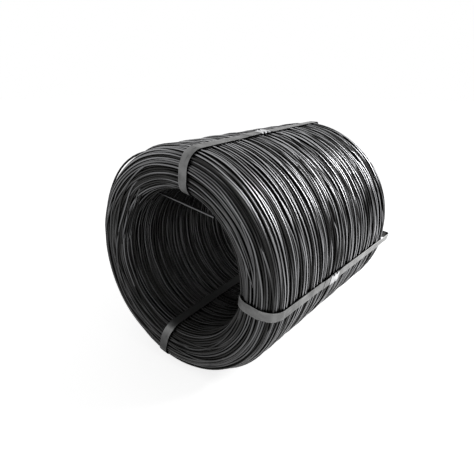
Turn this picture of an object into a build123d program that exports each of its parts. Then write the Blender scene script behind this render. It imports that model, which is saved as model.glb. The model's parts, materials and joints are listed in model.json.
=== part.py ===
"""Coil of steel rod on its side, bound lengthwise by three flat steel straps with crimped seals.

Millimetres. +Y runs along the coil's axis from the near end to the far end, and +Z is up. The origin
is on the floor, under the middle of the bound coil. The coil rests on the floor along its lowest line.
"""
import math
import os

from build123d import *

# Coil
bore_diameter = 500.0
winding_depth = 150.0
coil_length = 942.0
outer_corner = 62.0
inner_corner = 58.0

# Turns: they gather in bundles, which show as ridges on the ends and along the outside
end_bundle = 44.0
side_bundle = 58.0
turn_relief = 7.0

# Straps
strap_width = 32.0
strap_thickness = 0.9
strap_seat = 0.1
strap_ramp = 16.0
far_slack = 43.0
bore_slack = 12.0
tight_bend = 14.0
square_bend = 24.0

# Joint of a strap: its ends overlap inside a seal and stick out of it on both sides
seal_length = 64.0
seal_sheet = 1.0
seal_lip = 9.0
seal_seat = 0.3
seal_play = 0.2
short_tail = 12.0
joint_margin = 4.0

# Crimp notches along both edges of a seal
notch_length = 9.0
notch_depth = 5.0
notch_gap = 16.0
notch_slit = 0.8
tab_lift_angle = 38.0

# Places of the joints along the coil, from its middle towards the far end, and their long tails
top_joint = -19.0
top_tail = 80.0
right_joint = -68.0
right_tail = 46.0
bottom_joint = -24.0
bottom_tail = 46.0

# Places of the straps round the coil, from the top towards +X, and their lean off the coil's line
top_angle = 6.0
top_lean_angle = 4.0
right_angle = 101.1
right_lean_angle = -1.4
bottom_angle = 197.0
bottom_lean_angle = -3.6

overrun = 40.0

bore_radius = bore_diameter / 2
outer_radius = bore_radius + winding_depth
half_length = coil_length / 2
corner_limit_share = 0.46
outer_round = min(outer_corner, corner_limit_share * winding_depth)
inner_round = min(inner_corner, corner_limit_share * winding_depth)

# The straps stand equally proud of both ends, apart from the slack of the right one.
coil_middle = -far_slack / 2


def end_line(depth):
    """Line round the far end from the outside to the bore, in radius and length, at a depth below the crests."""
    outside = CenterArc((outer_radius - outer_round, half_length - outer_round), outer_round - depth, 0, 90)
    inside = CenterArc((bore_radius + inner_round, half_length - inner_round), inner_round - depth, 90, 90)
    return Wire([outside, Line(outside @ 1, inside @ 0), inside])


end_ridges = round(end_line(0).length / end_bundle)
side_reach = half_length - outer_round
side_ridges = round(2 * side_reach / side_bundle)


def crest_shares(ridges):
    """Shares of a line's length where it starts, goes from one ridge to the next, and ends."""
    return [ridge / ridges for ridge in range(ridges + 1)]


def end_crests(depth):
    """Points of the far end's crests from the outside to the bore, at a depth below them."""
    line = end_line(depth)
    points = [line.position_at(share * line.length, position_mode=PositionMode.LENGTH)
              for share in crest_shares(end_ridges)]
    return [(point.X, point.Y) for point in points]


def ridged(crests, floor):
    """Crests with the valley between each two, half way along a line below them."""
    points = crests[:1]
    for crest, before, after in zip(crests[1:], floor, floor[1:]):
        points += [((before[0] + after[0]) / 2, (before[1] + after[1]) / 2), crest]
    return points


def side_crests(radius):
    """Points of the outside's crests from the near end to the far end, at a radius."""
    return [(radius, (2 * share - 1) * side_reach) for share in crest_shares(side_ridges)]


def make_coil():
    """Ring of wound rod: plain bore, and ridges of its turns over the rounded ends and along the outside."""
    far_end = ridged(end_crests(0), end_crests(turn_relief))
    near_end = [(radius, -place) for radius, place in reversed(far_end)]
    side = ridged(side_crests(outer_radius), side_crests(outer_radius - turn_relief))
    return revolve(make_face(Polyline(*far_end, *near_end, *side[1:-1], close=True)), Axis.Y)


def sag(radius):
    """How far a strap's edges lie below its middle, where it follows the coil's curve."""
    return radius - math.sqrt(radius ** 2 - (strap_width / 2) ** 2)


joint_rise = seal_seat + seal_sheet + seal_play + sag(outer_radius)
seal_width = strap_width + 2 * (seal_play + seal_sheet)
seal_height = seal_sheet + joint_rise - seal_seat + 2 * strap_thickness + seal_play


def strap_section(joint, tail, out_slack, out_bend, in_slack, in_bend):
    """Section of a strap in radius and length: round the coil's wall, lifted and doubled at its joint.

    A bend at the far end's outside or bore makes a free corner there, and without one the strap lies on the turns.
    """
    tail_start = joint - seal_length / 2 - tail
    tail_end = joint + seal_length / 2 + short_tail
    lift_start = tail_start - joint_margin
    lift_end = tail_end + joint_margin

    def loop(stand_off, joint_points):
        outside = outer_radius + stand_off
        inside = bore_radius - stand_off
        seats = end_crests(-stand_off)
        middle = len(seats) // 2
        near_end = [(radius, -place) for radius, place in reversed(seats)]
        out_corner = [(outside, half_length + out_slack + stand_off)] if out_bend else seats[:middle]
        in_corner = [(inside, half_length + in_slack + stand_off)] if in_bend else seats[middle:]
        outline = make_face(Polyline(*near_end, (outside, lift_start - strap_ramp), *joint_points,
                                     (outside, lift_end + strap_ramp), *out_corner, *in_corner, close=True))
        for corner, bend in ((out_corner, out_bend), (in_corner, in_bend)):
            if bend:
                outline = fillet(outline.vertices().sort_by_distance((*corner[0], 0))[0], bend + stand_off)
        return outline

    under = outer_radius + joint_rise
    single = under + strap_thickness
    double = single + strap_thickness
    hollow = loop(strap_seat, [(under, lift_start), (under, lift_end)])
    outline = loop(strap_seat + strap_thickness,
                   [(single, lift_start), (single, tail_start), (double, tail_start),
                    (double, tail_end), (single, tail_end), (single, lift_end)])
    return outline - hollow


def make_strap(section, lean):
    """Strap over the +X side of the coil: its section turned about the axis and cut to the strap's width."""
    reach = 2 * (half_length + far_slack + overrun)
    half_turn = math.degrees(math.atan2(overrun, bore_radius)) * 2
    band = Rot(0, -half_turn, 0) * revolve(section, Axis.Y, 2 * half_turn)
    strip = Rot(lean, 0, 0) * Box(2 * (outer_radius + overrun), reach, strap_width)
    return band & strip


def notch_places(joint):
    """Middles of the two crimp notches along a seal."""
    pitch = notch_length + notch_gap
    return [joint - pitch / 2, joint + pitch / 2]


def make_notches(joint, lean):
    """Bites that the crimping tool takes out of both edges of a seal and of the strap inside it."""
    edge = seal_width / 2
    bites = [Pos(outer_radius, place, side * edge) * Box(overrun, notch_length, 2 * notch_depth)
             for place in notch_places(joint) for side in (-1, 1)]
    return Rot(lean, 0, 0) * Compound(bites)


def make_seal(joint, lean):
    """Sleeve of sheet steel folded round the strap's ends, with the bitten tabs bent outwards."""
    floor = outer_radius + seal_seat
    top = floor + seal_height
    inner_edge = seal_width / 2 - seal_sheet
    lip_end = seal_width / 2 - seal_lip
    half_section = Polyline((top, 0), (top, seal_width / 2), (floor, seal_width / 2), (floor, lip_end),
                            (floor + seal_sheet, lip_end), (floor + seal_sheet, inner_edge),
                            (top - seal_sheet, inner_edge), (top - seal_sheet, 0), close=True)
    half = Pos(0, joint + seal_length / 2, 0) * (Rot(90, 0, 0) * extrude(make_face(half_section), seal_length))
    sleeve = half + mirror(half, about=Plane.XY)
    seal = Rot(lean, 0, 0) * sleeve - make_notches(joint, lean)
    hinge = seal_width / 2 - notch_depth
    tab = Box(seal_sheet, notch_length - 2 * notch_slit, notch_depth, align=(Align.MAX, Align.CENTER, Align.MIN))
    for place in notch_places(joint):
        raised = Pos(top, place, hinge - seal_sheet / 2) * (Rot(0, tab_lift_angle, 0) * tab)
        seal += Rot(lean, 0, 0) * raised
        seal += Rot(lean, 0, 0) * mirror(raised, about=Plane.XY)
    return seal


def place_round(shape, angle):
    """Turn a shape from the +X side to its angle from the top, and set it on the lying coil."""
    return Pos(0, coil_middle, outer_radius) * (Rot(0, angle - 90, 0) * shape)


# Each strap: angle, lean, place and tail of its joint, and slack and bend of its free corners past the far end, at the
# outside and then at the bore.
straps = {
    "top": (top_angle, top_lean_angle, top_joint, top_tail, 0, square_bend, 0, None),
    "right": (right_angle, right_lean_angle, right_joint, right_tail, far_slack, tight_bend, bore_slack, tight_bend),
    "bottom": (bottom_angle, bottom_lean_angle, bottom_joint, bottom_tail, 0, None, 0, None),
}

parts = {"coil": place_round(make_coil(), 0)}
for name, (angle, lean, joint, *far_end) in straps.items():
    strap = make_strap(strap_section(joint, *far_end), lean) - make_notches(joint, lean)
    parts[f"strap_{name}"] = place_round(strap, angle)
    parts[f"seal_{name}"] = place_round(make_seal(joint, lean), angle)

os.makedirs("parts", exist_ok=True)
for name, shape in parts.items():
    export_step(shape, f"parts/{name}.step")
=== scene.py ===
"""Bound coil of dark steel rod on its side, dressed for a studio picture.

Metres, in the part's own frame. +Y runs along the coil's axis from the near end to the far end, and +Z
is up.
"""
import json
import math
from collections import namedtuple

import bmesh
import bpy
import numpy as np
from mathutils import Matrix, Vector


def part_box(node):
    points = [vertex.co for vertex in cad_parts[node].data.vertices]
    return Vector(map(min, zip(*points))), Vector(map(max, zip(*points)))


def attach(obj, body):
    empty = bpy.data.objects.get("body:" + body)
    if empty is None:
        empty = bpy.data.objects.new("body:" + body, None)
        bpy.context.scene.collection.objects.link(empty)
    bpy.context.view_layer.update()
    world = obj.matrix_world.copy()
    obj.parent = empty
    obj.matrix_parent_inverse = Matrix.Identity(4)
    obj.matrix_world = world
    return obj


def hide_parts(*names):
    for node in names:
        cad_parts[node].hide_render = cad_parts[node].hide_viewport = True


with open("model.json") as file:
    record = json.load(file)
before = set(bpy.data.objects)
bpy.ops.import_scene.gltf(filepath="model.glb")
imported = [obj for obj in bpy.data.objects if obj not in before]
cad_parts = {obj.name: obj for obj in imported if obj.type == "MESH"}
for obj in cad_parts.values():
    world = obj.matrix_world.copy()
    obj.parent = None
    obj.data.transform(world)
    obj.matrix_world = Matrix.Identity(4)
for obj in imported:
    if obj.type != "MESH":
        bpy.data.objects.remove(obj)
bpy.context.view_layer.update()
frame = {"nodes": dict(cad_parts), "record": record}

# Packed turns: dark steel rod, wound in many close layers of which only glimpses show between the turns of
# the surface. The mass under the two outer layers is one ring, a little smaller all round. It is painted
# near black, darker than the rod's own scale, as painted shade deep among the turns.
arc_points = 19
outer_corner = 0.062
packed_depth = 0.030
packed_steps = 96
packed_shade_black = (0.004, 0.004, 0.004, 1)
packed_shade_grey = (0.012, 0.012, 0.013, 1)
bore_mount = frame["record"]["mounts"][0]
coil_low, coil_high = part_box("coil")
axis_point = Vector(bore_mount["pos_m"])
outer_radius = (coil_high.x - coil_low.x) / 2
half_length = (coil_high.y - coil_low.y) / 2
bore_radius = bore_mount["dims"]["r_mm"] / 1000
bore_length = bore_mount["dims"]["length_mm"] / 1000
inner_corner = half_length - bore_length / 2


def corner_arc(radius, length, corner, start_angle):
    """Quarter arc of the section: radius and length of its points, and the surface's direction there."""
    angles = np.radians(start_angle + np.linspace(0, 90, arc_points))
    radial, axial = np.cos(angles), np.sin(angles)
    return np.array([radius + corner * radial, length + corner * axial, radial, axial])


# The section starts at the far rim and goes over the far end, back through the bore, over the near end and
# along the outside.
outer_middle = outer_radius - outer_corner
inner_middle = bore_radius + inner_corner
section = np.hstack([
    corner_arc(outer_middle, half_length - outer_corner, outer_corner, 0),
    corner_arc(inner_middle, half_length - inner_corner, inner_corner, 90),
    corner_arc(inner_middle, inner_corner - half_length, inner_corner, 180),
    corner_arc(outer_middle, outer_corner - half_length, outer_corner, 270),
])
section_steps = np.hypot(*np.diff(section[:2], append=section[:2, :1]))
section_places = np.cumsum(section_steps) - section_steps
section_size = section_steps.sum()


def along_section(place):
    """Radius and length of a place round the section, and the surface's direction there."""
    return [np.interp(place, section_places, row, period=section_size) for row in section]


def at_place(place, depth):
    """Radius and length on the coil of a place round its section, at a depth below the surface."""
    radius, length, radial, axial = along_section(place)
    return radius - depth * radial, length - depth * axial


def around_axis(radius, length, angle):
    """Points of the frame from radius, length and angle, which goes from the top towards +X."""
    return np.stack([axis_point.x + radius * np.sin(angle), axis_point.y + length,
                     axis_point.z + radius * np.cos(angle)], axis=-1)


class Finish:
    """Socket of a material's nodes. Maths on it is an expression, which adds the nodes that it needs."""

    def __init__(self, tree, socket=None):
        self.tree = tree
        self.socket = socket

    def node(self, kind, settings, values, output=0):
        """Output of a new node of that kind, after its settings and the values or links of its sockets."""
        made = self.tree.nodes.new("ShaderNode" + kind)
        for name, setting in settings.items():
            setattr(made, name, setting)
        for name, value in values.items():
            if isinstance(value, Finish):
                self.tree.links.new(value.socket, made.inputs[name])
            else:
                made.inputs[name].default_value = value
        return Finish(self.tree, made.outputs[output])

    def maths(self, operation, first, second):
        """Output of a Math node on two values or sockets."""
        return self.node("Math", {"operation": operation}, {0: first, 1: second})

    def __add__(self, other):
        return self.maths("ADD", self, other)

    def __sub__(self, other):
        return self.maths("SUBTRACT", self, other)

    def __rsub__(self, other):
        return self.maths("SUBTRACT", other, self)

    def __mul__(self, other):
        return self.maths("MULTIPLY", self, other)

    __radd__ = __add__
    __rmul__ = __mul__

    def between(self, low, high):
        """Share from 0 to 1 of the way from one value to another, smooth at both."""
        return self.node("MapRange", {"interpolation_type": "SMOOTHSTEP"},
                         {"Value": self, "From Min": low, "From Max": high})

    def colours(self, first, second):
        """Colour that goes from the first to the second as this value goes from 0 to 1."""
        # The node's colour sockets share their names with others, so they are picked by number.
        return self.node("Mix", {"data_type": "RGBA"}, {"Factor": self, 6: first, 7: second}, output=2)

    def point(self):
        """Object coordinates of the surface."""
        return self.node("TexCoord", {}, {}, output="Object")

    def attribute(self, name):
        """Value that the piece's own points hold under a name."""
        return self.node("Attribute", {"attribute_name": name}, {}, output="Fac")


def new_material(name):
    """Empty material, with the start of its finish and its Principled shader."""
    material = bpy.data.materials.new(name)
    material.use_nodes = True
    tree = material.node_tree
    return material, Finish(tree), tree.nodes["Principled BSDF"]


def feed(shader, values):
    """Sets a shader's sockets to values, or links them to the outputs of nodes."""
    for name, value in values.items():
        if isinstance(value, Finish):
            value.tree.links.new(value.socket, shader.inputs[name])
        else:
            shader.inputs[name].default_value = value


def show(piece, node, material):
    """Puts a finished piece in the scene, on the one body and in place of a plain node."""
    bpy.context.scene.collection.objects.link(piece)
    piece.data.materials.append(material)
    for face in piece.data.polygons:
        face.use_smooth = True
    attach(piece, "root")
    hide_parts(node)


packed_shade, finish, shader = new_material("packed_turns_painted_shade")
grime = finish.node("TexNoise", {}, {"Vector": finish.point(), "Scale": 40.0, "Detail": 4.0})
# Painted shade: near black with a faint mottle, darker than the rod's own scale.
feed(shader, {"Base Color": grime.between(0.3, 0.7).colours(packed_shade_black, packed_shade_grey),
              "Roughness": 0.6 + 0.2 * grime})

ring = bmesh.new()
ring_line = around_axis(*at_place(section_places, packed_depth), 0.0)
ring_points = [ring.verts.new(corner) for corner in ring_line]
ring_edges = [ring.edges.new(pair) for pair in zip(ring_points, ring_points[1:] + ring_points[:1])]
bmesh.ops.spin(ring, geom=ring_points + ring_edges, cent=axis_point, axis=(0, 1, 0), angle=math.tau,
               steps=packed_steps, use_merge=True)
bmesh.ops.recalc_face_normals(ring, faces=ring.faces)
packed_mesh = bpy.data.meshes.new("coil_packed_turns")
ring.to_mesh(packed_mesh)
ring.free()
show(bpy.data.objects.new("coil_packed_turns", packed_mesh), "coil", packed_shade)

# Turns of the coil: one round steel rod, black with mill scale, laid turn beside turn in layers. Its turns
# drift, and where two crowd together one dips under the other. Some have slipped across their neighbours,
# one stands off loose, and a loose end lies across the top of the bore.
dice = np.random.default_rng(21)
rod_diameter = 0.0075
points_per_turn = 96
long_bend = points_per_turn // 3
short_bend = points_per_turn // 10
surface_bevel = 2
under_bevel = 1
surface_depth = 0.0042
under_depth = 0.0128
tuck_depth = 0.0180
bridged_share = 0.5
pitch_shares = (0.85, 1.15)
easing_rounds = 40
path_smoothing = 5
dip_smoothing = 7

# The turns differ round the section. Each row gives a value at seven places: far rim, middle of the far
# end, far lip of the bore, near lip, middle of the near end, near rim, and middle of the outside.
far_lip = section_places[2 * arc_points - 1]
near_lip = section_places[2 * arc_points]
near_rim = section_places[-1]
near_end_middle = (near_lip + near_rim) / 2
outside_middle = (near_rim + section_size) / 2
wound_places = [0, far_lip / 2, far_lip, near_lip, near_end_middle, near_rim, outside_middle]
surface_pitches = [0.0083, 0.0083, 0.0083, 0.0083, 0.0081, 0.0081, 0.0081]
under_pitches = [0.0083] * len(wound_places)
drifts = [0.0058, 0.0023, 0.0042, 0.0034, 0.0015, 0.0021, 0.0047]
wiggles = [0.0038, 0.0015, 0.0013, 0.0013, 0.0013, 0.0021, 0.0036]
closest = [0.0038, 0.0058, 0.0048, 0.0052, 0.0067, 0.0056, 0.0038]
# Polish round the section: partly rubbed wear, partly painted shade, lower on the ends and in the bore.
polishes_and_shade = [0.95, 0.36, 0.4, 0.4, 0.24, 0.72, 1.0]
dullness = [0, 0.8, 1, 1, 1, 0.3, 0]
streakiness = [1.4, 0.5, 0.4, 0.4, 0.25, 0.5, 1.2]
# Depth over which deeper turns are painted darker: partly less wear, partly painted shade in the recesses.
wear_and_shade_depths = [0.0075, 0.016, 0.020, 0.020, 0.020, 0.013, 0.0075]


def by_place(place, values):
    """Value at a place round the section, from those at the wound places."""
    return np.interp(place, wound_places, values, period=section_size)


# Turns that have slipped: start and sweep round the coil, start, run and bow round the section, depth of
# the rod where it lies on top, how far its neighbours lie lower and out to where, and how steeply it comes
# up. On the outside they lie at random, and crowd towards the far rim.
Slip = namedtuple("Slip", "start sweep place run bow depth clearance reach steepness")
slip_count = 16
shortest_sweep, longest_sweep = 1.6, 3.2
shortest_slip, longest_slip = 0.016, 0.050
slipped_share = 0.75
crowding = 1.6
slip_starts = dice.uniform(0, math.tau, slip_count)
slip_sweeps = dice.uniform(shortest_sweep, longest_sweep, slip_count)
slip_shares = 1 - slipped_share * dice.uniform(0, 1, slip_count) ** crowding
slip_places = near_rim + slip_shares * (section_size - near_rim)
slip_runs = dice.uniform(shortest_slip, longest_slip, slip_count) * dice.choice([-1, 1], slip_count)
slips = [Slip(*slip, bow=0, depth=0.0045, clearance=0.0052, reach=0.012, steepness=6)
         for slip in zip(slip_starts, slip_sweeps, slip_places, slip_runs)]

# On the near end each is listed one by one: start and sweep in degrees, place past the lip, run and bow.
near_end_slips = [
    (-92, 62, 0.034, 0.012, 0.026), (-88, 60, 0.050, 0.016, 0.030), (-94, 70, 0.062, 0.022, 0.030),
    (-84, 58, 0.078, 0.018, 0.024), (-90, 64, 0.092, 0.024, 0.022), (-70, 56, 0.116, 0.016, 0.018),
    (120, 80, 0.090, -0.040, 0), (215, 70, 0.060, 0.035, 0), (104, 76, 0.056, 0.030, 0),
    (132, 88, 0.126, -0.032, 0), (150, 70, 0.144, 0.024, 0), (164, 82, 0.076, -0.028, 0),
    (198, 84, 0.122, 0.030, 0), (224, 60, 0.098, -0.028, 0), (246, 62, 0.150, -0.032, 0),
    (28, 62, 0.070, 0.030, 0), (46, 70, 0.132, -0.028, 0), (62, 52, 0.160, 0.020, 0),
]
slips += [Slip(math.radians(start), math.radians(sweep), near_lip + past_lip, run, bow,
               depth=0.0046, clearance=0.0048, reach=0.012, steepness=6)
          for start, sweep, past_lip, run, bow in near_end_slips]

# One turn stands off loose, a little inside the near rim.
loose_inset = 0.013
loose_turn = Slip(math.radians(-100), math.radians(80), near_rim - loose_inset, run=0, bow=0,
                  depth=-0.0040, clearance=0.0150, reach=0.045, steepness=3)
slips.append(loose_turn)

# Streaks that slant over many turns, where scale has come off: each wave's rate across and along the turns,
# and its start.
streak_count = 14
widest_streak = 0.045
narrowest_streak = 0.018
most_slant = 7
streak_waves = list(zip(dice.uniform(math.tau / widest_streak, math.tau / narrowest_streak, streak_count),
                        dice.integers(-most_slant, most_slant + 1, streak_count),
                        dice.uniform(0, math.tau, streak_count)))


def streak(place, angle):
    """Height of the slanting streaks at places and angles."""
    waves = sum(np.cos(across * place + along * angle + shift) for across, along, shift in streak_waves)
    return by_place(place, streakiness) * waves / math.sqrt(streak_count / 2)


# The solid's ridges are bundles of turns. Its points tell how far the bundles lie below the smooth section.
fine_steps = 4000
line_decimals = 4
fine_places = np.linspace(0, section_size, fine_steps)
fine_line = np.array(at_place(fine_places, 0))


def on_section(radius, length):
    """Nearest places round the section of points given by radius and length, and their depths below it."""
    spans = np.hypot(radius[:, None] - fine_line[0], length[:, None] - fine_line[1])
    place = fine_places[spans.argmin(axis=1)]
    surface_radius, surface_length, radial, axial = along_section(place)
    return place, (surface_radius - radius) * radial + (surface_length - length) * axial


solid_points = np.array([vertex.co - axis_point for vertex in frame["nodes"]["coil"].data.vertices])
solid_line = [np.hypot(solid_points[:, 0], solid_points[:, 2]), solid_points[:, 1]]
bundle_places, bundle_depths = on_section(*np.unique(np.round(solid_line, line_decimals), axis=1))
bundle_order = np.argsort(bundle_places)
bundle_places, bundle_depths = bundle_places[bundle_order], bundle_depths[bundle_order]


def bundle_depth(place):
    """Depth of the bundles of turns below the smooth section at a place. Loose turns bridge part of it."""
    return bridged_share * np.interp(place, bundle_places, bundle_depths, period=section_size)


def wandering(count, reach):
    """Smooth random line of so many points, about 1 high, with bends about as long as the reach."""
    window = np.hanning(reach)
    return np.convolve(dice.normal(size=count + reach - 1), window / np.linalg.norm(window), "valid")


def smooth_along(rows, reach):
    """Rows smoothed along the rod, which goes on from each row to the next."""
    window = np.hanning(reach)
    padded = np.pad(rows.ravel(), reach // 2, "edge")
    return np.convolve(padded, window / window.sum(), "valid").reshape(rows.shape)


def wind(pitches, looseness):
    """Places round the section and angles of one rod that goes right round it, one row for each turn."""
    starts = [0.0]
    while starts[-1] < section_size:
        starts.append(starts[-1] + by_place(starts[-1], pitches) * dice.uniform(*pitch_shares))
    starts = np.array(starts) * section_size / starts[-1]
    turns = len(starts) - 1
    steps = np.arange(turns * points_per_turn) / points_per_turn
    place = np.interp(steps, np.arange(turns + 1), starts)
    place = place + looseness * (by_place(place, drifts) * wandering(len(steps), long_bend)
                                 + by_place(place, wiggles) * wandering(len(steps), short_bend))
    place = place.reshape(turns, -1)
    for _ in range(easing_rounds):
        overlap = np.clip(by_place(place[1:], closest) - np.diff(place, axis=0), 0, None) / 2
        place[:-1] -= overlap
        place[1:] += overlap
    return smooth_along(place, path_smoothing), (steps * math.tau).reshape(turns, -1)


def dip_under(place):
    """How far every second turn has to dip to pass under the neighbours that crowd it."""
    gap = np.abs(np.diff(place, axis=0, prepend=place[-1:] - section_size))
    nearest = np.minimum(gap, np.roll(gap, -1, axis=0))
    dip = np.sqrt(np.clip(rod_diameter ** 2 - nearest ** 2, 0, None))
    dip[::2] = 0
    return smooth_along(dip, dip_smoothing)


def slip_lift(slip, share):
    """How far a slipped turn has come up at a share of its sweep, from 0 at both its ends to 1."""
    return 1 - np.abs(2 * share - 1) ** slip.steepness


def slip_place(slip, share):
    """Place of a slipped turn at a share of its sweep."""
    return slip.place + slip.run * share ** 2 * (3 - 2 * share) - slip.bow * 4 * share * (1 - share)


def give_way(place, angle):
    """How far the turns lie lower where slipped ones pass over them."""
    lower = np.zeros_like(place)
    for slip in slips:
        share = (angle - slip.start) % math.tau / slip.sweep
        share = np.where(share < 1, share, 0)
        nearness = np.clip(1 - np.abs(place - slip_place(slip, share)) / slip.reach, 0, 1)
        lower = np.maximum(lower, slip.clearance * nearness * slip_lift(slip, share))
    return lower


scale_names = ("tone", "polish_and_shade", "dull", "crest")


def make_rod(name, runs, bevel):
    """Round rod in one or more runs, each with its path, directions out of the coil and scale's values."""
    curve = bpy.data.curves.new(name, "CURVE")
    curve.dimensions = "3D"
    curve.bevel_depth = rod_diameter / 2
    curve.bevel_resolution = bevel
    for path, *_ in runs:
        spline = curve.splines.new("POLY")
        spline.points.add(len(path) - 1)
        spline.points.foreach_set("co", np.column_stack([path, np.ones(len(path))]).ravel())
    holder = bpy.data.objects.new(name, curve)
    mesh = bpy.data.meshes.new_from_object(holder)
    bpy.data.objects.remove(holder)
    path, outward, *scale_values = (np.concatenate(rows) for rows in zip(*runs))
    sides = len(mesh.vertices) // len(path)
    corners = np.empty(3 * len(mesh.vertices))
    mesh.vertices.foreach_get("co", corners)
    offsets = corners.reshape(len(path), sides, 3) - path[:, None]
    # How far each point of the rod faces out of the coil; its crest takes the painted highlight line.
    crest = np.einsum("psk,pk->ps", offsets, outward) / curve.bevel_depth
    scale_values = [np.repeat(values, sides) for values in scale_values] + [crest]
    for scale_name, values in zip(scale_names, scale_values):
        scale = mesh.attributes.new("scale_" + scale_name, "FLOAT", "POINT")
        scale.data.foreach_set("value", values.ravel().astype(np.float32))
    tube = bmesh.new()
    tube.from_mesh(mesh)
    bmesh.ops.holes_fill(tube, edges=[edge for edge in tube.edges if edge.is_boundary])
    tube.to_mesh(mesh)
    tube.free()
    return bpy.data.objects.new(name, mesh)


# The scale's tone wanders along the rod. Its polish is partly rubbed wear and partly painted shade: it is
# painted darker under the coil than on top, and darker on both ends and in the bore.
tone_bend = points_per_turn // 2
tone_swing = 0.7
brightest_angle = math.radians(10)
painted_shade_middle = 0.65
painted_shade_swing = 0.35


def lay(place, angle, depth, wear_and_shade):
    """Run of rod for make_rod, from its places, angles and depths, and its wear, which also carries painted
    shade.
    """
    path = around_axis(*at_place(place, depth), angle)
    outward = path - around_axis(*at_place(place, depth + rod_diameter), angle)
    tone = tone_swing * wandering(len(path), tone_bend) + streak(place, angle)
    polish_and_shade = wear_and_shade * by_place(place, polishes_and_shade)
    # Painted shade: darker under the coil than on top.
    polish_and_shade = polish_and_shade * (painted_shade_middle + painted_shade_swing * np.cos(angle - brightest_angle))
    return path, outward / rod_diameter, tone, polish_and_shade, by_place(place, dullness)


scale_black = (0.0110, 0.0108, 0.0106, 1)
scale_grey = (0.0200, 0.0198, 0.0193, 1)
rubbed_steel_and_highlight = (0.58, 0.583, 0.60, 1)
rod_black, finish, shader = new_material("rod_black_scale")
tone, polish_and_shade, dull, crest = (finish.attribute("scale_" + name) for name in scale_names)
point = finish.point()
patches = finish.node("TexNoise", {}, {"Vector": point, "Scale": 9.0, "Detail": 3.0})
flakes = finish.node("TexNoise", {}, {"Vector": point, "Scale": 220.0, "Detail": 4.0, "Roughness": 0.6})
streaks = (0.75 * tone.between(-1.7, 1.7) + 0.25 * patches).between(0.26, 0.8)
# Each rod's crest, the side that faces out of the coil, is painted bright steel: partly rubbed scale, partly
# a painted highlight line along every rod. Its polish carries painted shade too.
wear_shade_and_highlight = polish_and_shade * crest.between(0.5, 0.97) * (0.03 + 0.97 * streaks)
unworn = dull.colours(scale_black, scale_grey)
feed(shader, {"Base Color": wear_shade_and_highlight.colours(unworn, rubbed_steel_and_highlight), "Metallic": 1.0,
              "Roughness": 0.38 - 0.10 * wear_shade_and_highlight + 0.06 * flakes,
              "Normal": finish.node("Bump", {}, {"Height": flakes, "Strength": 0.15, "Distance": 0.0006})})

zones = {"far_end": (0, far_lip), "bore": (far_lip, near_lip), "near_end": (near_lip, near_rim),
         "outside": (near_rim, section_size)}


def show_layer(name, place, angle, depth, wear_and_shade, bevel):
    """Shows a wound layer as one piece for each zone of the coil."""
    starts = place.mean(axis=1)
    wear_and_shade = np.broadcast_to(wear_and_shade, place.shape)
    for zone, (first, last) in zones.items():
        own = (starts >= first) & (starts < last)
        run = lay(place[own].ravel(), angle[own].ravel(), depth[own].ravel(), wear_and_shade[own].ravel())
        show(make_rod(f"coil_{zone}_{name}", [run], bevel), "coil", rod_black)


# Surface layer: its height drifts with the streaks, and the turns that lie deeper are painted darker, partly
# as less wear and partly as painted shade in the recesses.
height_drift = 0.0012
middle_drift = 1.5
drift_swing = 0.8
surface_wear_and_shade = 1.2
least_wear_and_shade = 0.03
place, angle = wind(surface_pitches, looseness=1.0)
drift = drift_swing * wandering(angle.size, long_bend).reshape(angle.shape) - streak(place, angle)
drift = height_drift * np.clip(middle_drift + drift, 0, None)
depth = surface_depth + bundle_depth(place) + drift + np.maximum(dip_under(place), give_way(place, angle))
wear_and_shade = np.clip(surface_wear_and_shade - (depth - surface_depth) / by_place(place, wear_and_shade_depths), least_wear_and_shade, 1)
show_layer("turns", place, angle, depth, wear_and_shade, surface_bevel)

# Layer under it, painted dark: partly as hardly worn, partly as painted shade under the surface turns.
place, angle = wind(under_pitches, looseness=0.6)
depth = under_depth + bundle_depth(place) + give_way(place, angle)
show_layer("under_turns", place, angle, depth, wear_and_shade=0.12, bevel=under_bevel)

# Slipped turns: both ends of each are tucked under the layers.
runs = []
for slip in slips:
    share = np.linspace(0, 1, round(slip.sweep / math.tau * points_per_turn))
    place = slip_place(slip, share)
    place = place + by_place(place, wiggles) * wandering(len(share), short_bend)
    depth = slip.depth + tuck_depth * (1 - slip_lift(slip, share))
    if slip is not loose_turn:
        depth = depth + bundle_depth(place)
    runs.append(lay(place, slip.start + slip.sweep * share, depth, wear_and_shade=1.0))

# Loose end across the top of the bore, from one side of the near lip to the other.
loose_radii = np.array([0.262, 0.262])
loose_lengths = np.array([-0.388, -0.449])
loose_angles = np.radians([-33, 40])
# The side of the loose end that faces the camera is taken as its crest, so that its painted highlight line
# shows.
loose_highlight_side = [0.3, -0.95, 0.0]
loose_polish = 0.28
loose_steps = points_per_turn // 4
path = np.linspace(*around_axis(loose_radii, loose_lengths, loose_angles), loose_steps)
runs.append((path, np.tile(loose_highlight_side, (loose_steps, 1)), np.ones(loose_steps),
             np.full(loose_steps, loose_polish), np.zeros(loose_steps)))
show(make_rod("coil_slipped_turns", runs, surface_bevel), "coil", rod_black)

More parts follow.
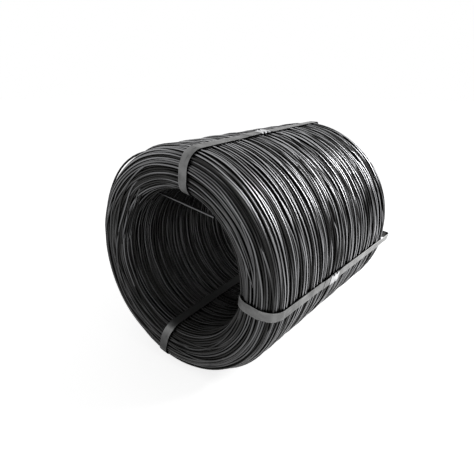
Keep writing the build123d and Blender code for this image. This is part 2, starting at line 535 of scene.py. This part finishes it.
# Straps: flat bands of rolled steel, drawn tight round the coil and through its bore. Their ends overlap and
# are held by seals. The steel is dull grey and rubbed bright along its edges. In the bore it is black,
# partly with dust and partly as painted shade; the bottom strap is painted darker towards the floor as
# shade, and the right one is painted near white towards the far end as a painted highlight.
strap_dull = (0.086, 0.086, 0.085, 1)
strap_rubbed = (0.235, 0.236, 0.235, 1)
strap_highlight = (0.66, 0.66, 0.65, 1)
dust_and_shade_black = (0.006, 0.006, 0.006, 1)
strap_grey, finish, shader = new_material("strap_grey_steel")
across, dust_and_shade_share, far_highlight = (finish.attribute("strap_" + name) for name in ("across", "dust_and_shade", "far_highlight"))
point = finish.point()
smears = finish.node("TexNoise", {}, {"Vector": point, "Scale": 18.0, "Detail": 5.0, "Roughness": 0.6})
specks = finish.node("TexNoise", {}, {"Vector": point, "Scale": 300.0, "Detail": 2.0})
edges = (across * across).between(0.5, 0.95)
rubbed = 0.6 * smears.between(0.3, 0.7) + 0.15 * specks + 0.35 * edges
# Painted highlight: near white towards the right strap's far end, most along its edges.
steel = (far_highlight * (0.12 + 0.88 * edges)).colours(rubbed.colours(strap_dull, strap_rubbed), strap_highlight)
# Black in the bore, partly dust and partly painted shade, and painted shade towards the floor.
feed(shader, {"Base Color": dust_and_shade_share.colours(steel, dust_and_shade_black), "Metallic": 0.8 - 0.8 * dust_and_shade_share,
              "Roughness": 0.46 - 0.12 * rubbed + 0.3 * dust_and_shade_share})

# The solid straps go straight from crest to crest of the bundles. Over the near end they are cut finer and
# pushed out to its round.
crest_depth = 0.0005
end_margin = 0.001
chord_points = 200
longest_run = 0.02
run_cuts = 5
merge_distance = 0.00001
flat_angle = math.radians(0.5)
sharp_angle = math.radians(20)
on_near_end = (bundle_places > near_lip - end_margin) & (bundle_places < near_rim + end_margin)
crests = bundle_places[on_near_end & (bundle_depths < crest_depth)]
chord_steps = np.linspace(0, len(crests) - 1, chord_points)
chord_line = [np.interp(chord_steps, np.arange(len(crests)), row) for row in at_place(crests, 0)]
chord_places, chord_depths = on_section(*chord_line)
round_start = axis_point.y - half_length + outer_corner + end_margin


def draw_strap(name):
    """Mesh of a solid strap that follows the round of the near end."""
    band = bmesh.new()
    band.from_mesh(frame["nodes"][name].data)
    bmesh.ops.remove_doubles(band, verts=band.verts, dist=merge_distance)
    bmesh.ops.dissolve_limit(band, angle_limit=flat_angle, verts=band.verts, edges=band.edges)
    long_edges = [edge for edge in band.edges if edge.calc_length() > longest_run
                  and all(end.co.y < round_start for end in edge.verts)]
    bmesh.ops.subdivide_edges(band, edges=long_edges, cuts=run_cuts, use_grid_fill=True)
    for vertex in band.verts:
        if vertex.co.y < round_start:
            sideways, along, up = vertex.co - axis_point
            place, depth = on_section(np.array([math.hypot(sideways, up)]), np.array([along]))
            depth -= np.interp(place, chord_places, chord_depths)
            vertex.co = around_axis(*at_place(place, depth), math.atan2(sideways, up))[0]
    for face in band.faces:
        face.smooth = True
    mesh = bpy.data.meshes.new(name + "_drawn")
    band.to_mesh(mesh)
    band.free()
    mesh.set_sharp_from_angle(angle=sharp_angle)
    return mesh


# Dust and painted shade blacken the bore up to a little over its lip. The right strap is painted near white
# towards the far end, most along its edges, as a painted highlight, and the bottom one is painted darker
# towards the floor as shade.
lip_height = 0.014
floor_shade_heights = [0.02, 0.11]
floor_shade_levels = [0.0, 0.95]
for name in ("strap_top", "strap_right", "strap_bottom"):
    mesh = draw_strap(name)
    points = np.array([vertex.co - axis_point for vertex in mesh.vertices])
    width_direction = np.linalg.svd(points - points.mean(axis=0), full_matrices=False)[2][2]
    width_line = points @ width_direction
    over_bore = np.hypot(points[:, 0], points[:, 2]) - bore_radius
    strap_values = {"across": 2 * (width_line - width_line.min()) / np.ptp(width_line) - 1,
                    "dust_and_shade": np.clip(1 - over_bore / lip_height, 0, 1), "far_highlight": np.zeros(len(points))}
    # Painted highlight towards the right strap's far end.
    if name == "strap_right":
        strap_values["far_highlight"] = np.clip(points[:, 1] / half_length, 0, 1)
    # Painted shade on the bottom strap towards the floor.
    if name == "strap_bottom":
        floor_shade = np.interp(over_bore, floor_shade_heights, floor_shade_levels)
        strap_values["dust_and_shade"] = np.maximum(strap_values["dust_and_shade"], floor_shade)
    for value_name, values in strap_values.items():
        attribute = mesh.attributes.new("strap_" + value_name, "FLOAT", "POINT")
        attribute.data.foreach_set("value", values.astype(np.float32))
    show(bpy.data.objects.new(name + "_drawn", mesh), name, strap_grey)

# Seals: sleeves of galvanized sheet, folded round the two ends of a strap and bitten through by a crimping
# tool. The zinc has a fine spangle and is scuffed.
zinc_grey = (0.40, 0.405, 0.41, 1)
zinc_bright = (0.72, 0.725, 0.735, 1)
seal_bright, finish, shader = new_material("seal_bright_zinc")
point = finish.point()
crystals = finish.node("TexVoronoi", {}, {"Vector": point, "Scale": 220.0}, output="Color")
spangle = crystals.between(0.1, 0.9)
scuffs = finish.node("TexNoise", {}, {"Vector": point, "Scale": 60.0, "Detail": 5.0}).between(0.4, 0.65)
feed(shader, {"Base Color": (0.4 * spangle + 0.6 * scuffs).colours(zinc_grey, zinc_bright),
              "Metallic": 0.9, "Roughness": 0.3 + 0.2 * spangle})
for name in ("seal_top", "seal_right", "seal_bottom"):
    frame["nodes"][name].data.materials.clear()
    frame["nodes"][name].data.materials.append(seal_bright)

# Studio: the coil lies on a wide white floor, which keeps a faint shadow, in white surroundings. One broad
# flat lamp hangs to the right and behind it, with its length across the coil's axis.
floor_size = 40.0
floor_glow = 0.80
ambient_level = 0.3
lamp_place = Vector((1.6, 1.0, 2.01))
lamp_power = 58
lamp_length = 1.5
lamp_width = 0.5
floor_paint = (0.8, 0.8, 0.8, 1)
white = (1, 1, 1, 1)


def shown_rays(finish):
    """1 for rays from the camera, also by way of a mirror or glass, and 0 for those that only light."""
    camera, glossy, transmission = (finish.node("LightPath", {}, {}, output=f"Is {kind} Ray")
                                    for kind in ("Camera", "Glossy", "Transmission"))
    return camera + glossy + transmission


floor_form = bmesh.new()
bmesh.ops.create_grid(floor_form, x_segments=1, y_segments=1, size=floor_size / 2)
floor_mesh = bpy.data.meshes.new("floor")
floor_form.to_mesh(floor_mesh)
floor_form.free()
floor = bpy.data.objects.new("floor", floor_mesh)
bpy.context.scene.collection.objects.link(floor)
floor_white, finish, shader = new_material("floor_white")
feed(shader, {"Base Color": floor_paint, "Roughness": 0.9, "Specular IOR Level": 0.0})
lit = Finish(finish.tree, shader.outputs[0])
glow = finish.node("Emission", {}, {"Color": white, "Strength": floor_glow})
glowing = finish.node("AddShader", {}, {0: glow, 1: lit})
mixed = finish.node("MixShader", {}, {0: shown_rays(finish), 1: lit, 2: glowing})
finish.tree.links.new(mixed.socket, finish.tree.nodes["Material Output"].inputs["Surface"])
floor.data.materials.append(floor_white)

world = bpy.data.worlds.new("studio")
bpy.context.scene.world = world
world.use_nodes = True
room_level = ambient_level + (1 - ambient_level) * shown_rays(Finish(world.node_tree))
feed(world.node_tree.nodes["Background"], {"Color": white, "Strength": room_level})

light = bpy.data.lights.new("key_lamp", "AREA")
light.shape = "RECTANGLE"
light.energy = lamp_power
light.size = lamp_length
light.size_y = lamp_width
lamp = bpy.data.objects.new("key_lamp", light)
lamp_back = (lamp_place - axis_point).normalized()
lamp_side = Vector((0, 1, 0)).cross(lamp_back).normalized()
lamp_turn = Matrix((lamp_side, lamp_back.cross(lamp_side), lamp_back)).transposed().to_4x4()
lamp.matrix_world = Matrix.Translation(lamp_place) @ lamp_turn
bpy.context.scene.collection.objects.link(lamp)

# Camera: a plain lens above the height of the coil, in front of it and to its right, from where the near
# end, the right side and the top show. Its place and line of sight fit the picture's outline of the coil.
eye = Vector((0.954, -1.3951, 0.9888))
sight = Vector((-0.5668, 0.7468, -0.3479))
camera = bpy.data.objects.new("camera", bpy.data.cameras.new("camera"))
camera.data.sensor_width = 36
camera.data.lens = 32.69
camera.location = eye
camera.rotation_euler = sight.to_track_quat("-Z", "Y").to_euler()
bpy.context.scene.collection.objects.link(camera)
bpy.context.scene.camera = camera
bpy.context.scene.view_settings.view_transform = "Standard"
